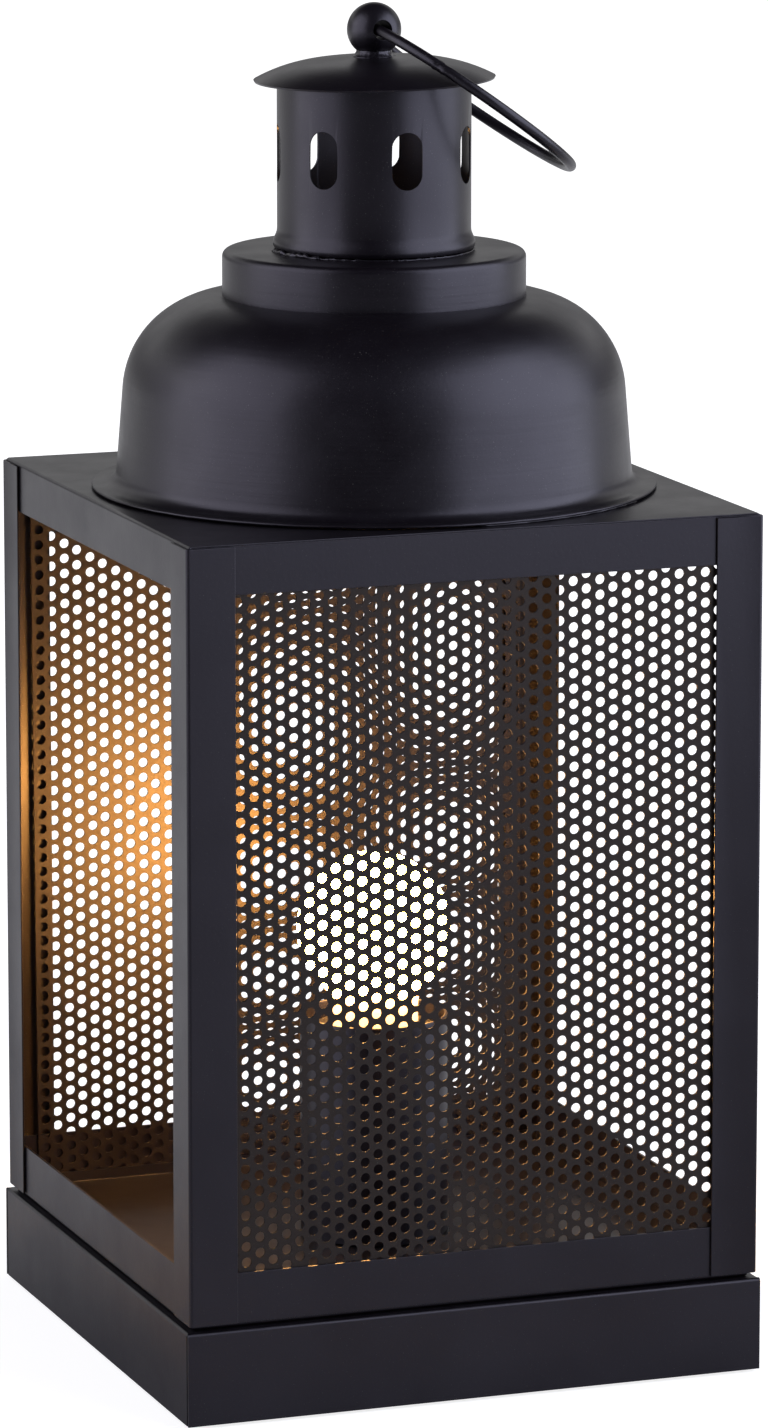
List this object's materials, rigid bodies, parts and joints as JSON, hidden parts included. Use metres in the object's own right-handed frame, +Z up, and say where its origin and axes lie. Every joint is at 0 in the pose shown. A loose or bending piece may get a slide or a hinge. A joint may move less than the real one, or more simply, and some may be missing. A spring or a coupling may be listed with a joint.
{
  "type": "lantern table lamp",
  "caption": "Square lantern table lamp with perforated front and back, open sides, domed top with slotted chimney, carrying ring and a globe bulb.",
  "frame": {"origin": "middle of the base, on the surface that the lamp stands on", "axes": "+Z up, -Y towards the perforated front, +X towards the open right side"},
  "size_m": [0.1726, 0.1731, 0.3882],
  "materials": {
    "black_paint": "satin black paint on sheet steel",
    "perforated_sheet": "satin black paint on perforated sheet steel",
    "zinc_steel": "zinc plated",
    "rubber": "matte",
    "phenolic": "moulded phenolic",
    "ceramic": "glazed ceramic",
    "brass": "plain",
    "bulb_glass": "opal coated, lit",
    "cap_metal": "rolled",
    "stem_glass": "clear",
    "lit_filament": "lit",
    "block_plastic": "moulded",
    "brown_sleeving": "extruded",
    "blue_sleeving": "extruded",
    "green_sleeving": "extruded"
  },
  "bodies": {
    "lantern": {"base_plinth": "black_paint", "bottom_cover": "black_paint", "floor_pan": "black_paint", "corner_post_front_left": "black_paint", "corner_post_front_right": "black_paint", "corner_post_back_left": "black_paint", "corner_post_back_right": "black_paint", "front_top_rail": "black_paint", "back_top_rail": "black_paint", "front_bottom_rail": "black_paint", "back_bottom_rail": "black_paint", "left_bottom_rail": "black_paint", "right_bottom_rail": "black_paint", "top_plate": "black_paint", "dome": "black_paint", "neck_ring": "black_paint", "chimney": "black_paint", "chimney_cap": "black_paint", "finial_collar": "black_paint", "finial_ball": "black_paint", "holder_sleeve": "black_paint", "front_mesh": "perforated_sheet", "back_mesh": "perforated_sheet", "cover_screws": "zinc_steel", "finial_screw": "zinc_steel", "finial_washer": "zinc_steel", "threaded_stem": "zinc_steel", "stem_nuts": "zinc_steel", "stem_washer": "zinc_steel", "earth_stud": "zinc_steel", "earth_nut": "zinc_steel", "rubber_feet": "rubber", "inlet_grommet": "rubber", "holder_base": "phenolic", "holder_shell": "phenolic", "holder_insert": "ceramic", "centre_contact": "brass", "side_contact": "brass", "contact_screws": "brass", "terminal_clamps": "brass", "earth_tag": "brass", "terminal_block": "block_plastic", "live_lead": "brown_sleeving", "neutral_lead": "blue_sleeving", "earth_lead": "green_sleeving"},
    "ring": {"carrying_ring": "black_paint"},
    "bulb": {"bulb_globe": "bulb_glass", "bulb_cap": "cap_metal", "bulb_insulator": "phenolic", "bulb_contact": "brass", "bulb_stem": "stem_glass", "bulb_filaments": "lit_filament"}
  },
  "joints": [
    {"name": "ring_swing", "type": "hinge", "parent": "lantern", "child": "ring", "pos_m": [0, 0, 0.3806], "axis": [0, -1, 0], "range_deg": [-2, 245]},
    {"name": "bulb_unscrew", "type": "slide", "parent": "lantern", "child": "bulb", "axis": [0, 0, 1], "range_m": [0, 0.03]}
  ]
}
